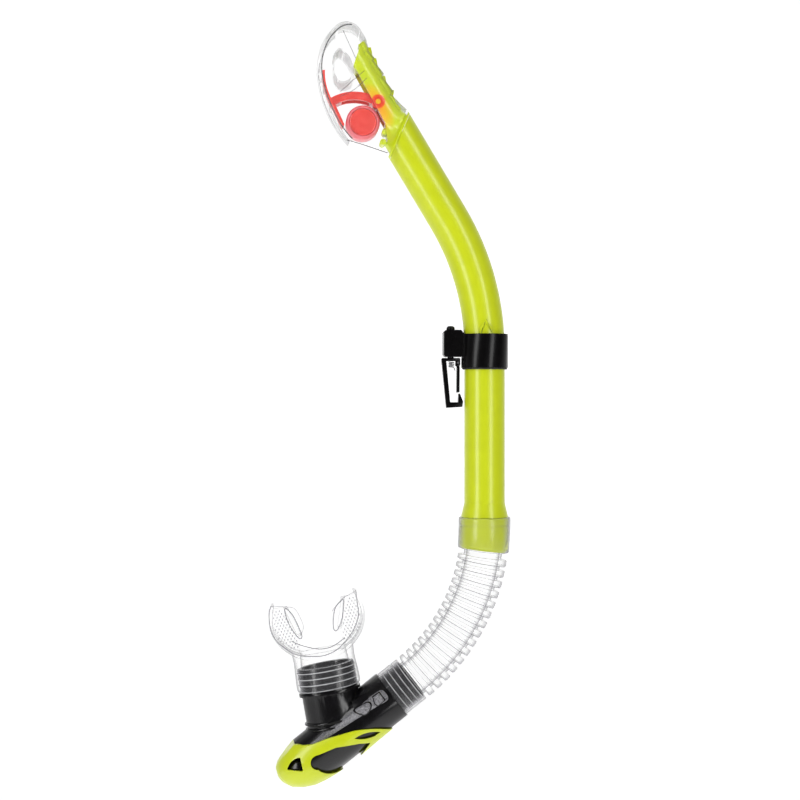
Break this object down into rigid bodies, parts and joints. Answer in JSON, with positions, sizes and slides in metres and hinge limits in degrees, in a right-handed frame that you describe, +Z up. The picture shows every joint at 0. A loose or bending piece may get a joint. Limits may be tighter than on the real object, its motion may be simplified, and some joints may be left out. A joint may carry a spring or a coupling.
{
  "type": "dry-top snorkel",
  "caption": "Dry-top snorkel: clear splash guard with float valve, bent barrel, strap keeper with snap hook, corrugated drop-away hose, purge chamber and soft mouthpiece.",
  "frame": {"origin": "centre of the window of the strap hook, where a mask strap holds the snorkel", "axes": "+Z up along the straight barrel, +X from the hook to the barrel, the tube bends in the XZ plane, which is its plane of symmetry apart from the keeper's turn"},
  "size_m": [0.1431, 0.0344, 0.452],
  "materials": {
    "lime_plastic": "moulded, glossy, faintly translucent",
    "clear_plastic": "moulded clear polycarbonate",
    "red_plastic": "moulded, satin",
    "red_silicone": "moulded silicone",
    "black_plastic": "moulded, glossy",
    "black_silicone": "moulded silicone, matt",
    "clear_silicone": "moulded clear silicone",
    "steel": "stainless, plain"
  },
  "bodies": {
    "barrel": {"barrel_tube": "lime_plastic", "top_frame": "lime_plastic", "guard_cover": "clear_plastic", "pivot_pin": "steel", "flex_hose": "clear_silicone"},
    "float_lever": {"float_arm": "red_plastic", "valve_seal": "red_silicone", "float_shell": "red_plastic", "float_cap": "red_plastic"},
    "keeper": {"keeper_liner": "black_silicone"},
    "strap_ring": {"keeper_ring": "black_plastic"},
    "hook": {"swivel_stem": "black_plastic", "hook_frame": "black_plastic", "gate_pin": "steel", "gate_spring": "steel"},
    "gate": {"hook_gate": "black_plastic"},
    "chamber": {"chamber_body": "black_plastic", "purge_seat": "black_plastic", "purge_cover": "lime_plastic", "mouthpiece": "clear_silicone"},
    "purge_flap": {"purge_valve": "clear_silicone"}
  },
  "joints": [
    {"name": "float_swing", "type": "hinge", "parent": "barrel", "child": "float_lever", "pos_m": [-0.0448, 0, 0.1654], "axis": [0, 1, 0], "range_deg": [0, 9.5]},
    {"name": "keeper_slide", "type": "slide", "parent": "barrel", "child": "keeper", "axis": [0, 0, 1], "range_m": [-0.048, 0]},
    {"name": "keeper_turn", "type": "hinge", "parent": "keeper", "child": "strap_ring", "pos_m": [0.01905, 0, 0], "axis": [0, 0, 1], "continuous": true},
    {"name": "hook_swivel", "type": "hinge", "parent": "strap_ring", "child": "hook", "pos_m": [-0.0012, 0, 0], "axis": [0, 0, 1], "continuous": true},
    {"name": "gate_swing", "type": "hinge", "parent": "hook", "child": "gate", "pos_m": [0.003, 0, 0.0126], "axis": [0, 1, 0], "range_deg": [0, 11], "stiffness_Nm_per_rad": 0.01, "springref_deg": -11.46, "deforming": ["gate_spring"]},
    {"name": "hose_flex", "type": "hinge", "parent": "barrel", "child": "chamber", "pos_m": [0.00764, 0, -0.1349], "axis": [0, 1, 0], "range_deg": [-25, 15], "stiffness_Nm_per_rad": 0.4, "springref_deg": 4.3, "deforming": ["flex_hose"]},
    {"name": "purge_lift", "type": "slide", "parent": "chamber", "child": "purge_flap", "axis": [-0.788, 0, -0.6157], "range_m": [0, 0.0012], "stiffness_N_per_m": 30, "springref_m": -0.0006}
  ]
}
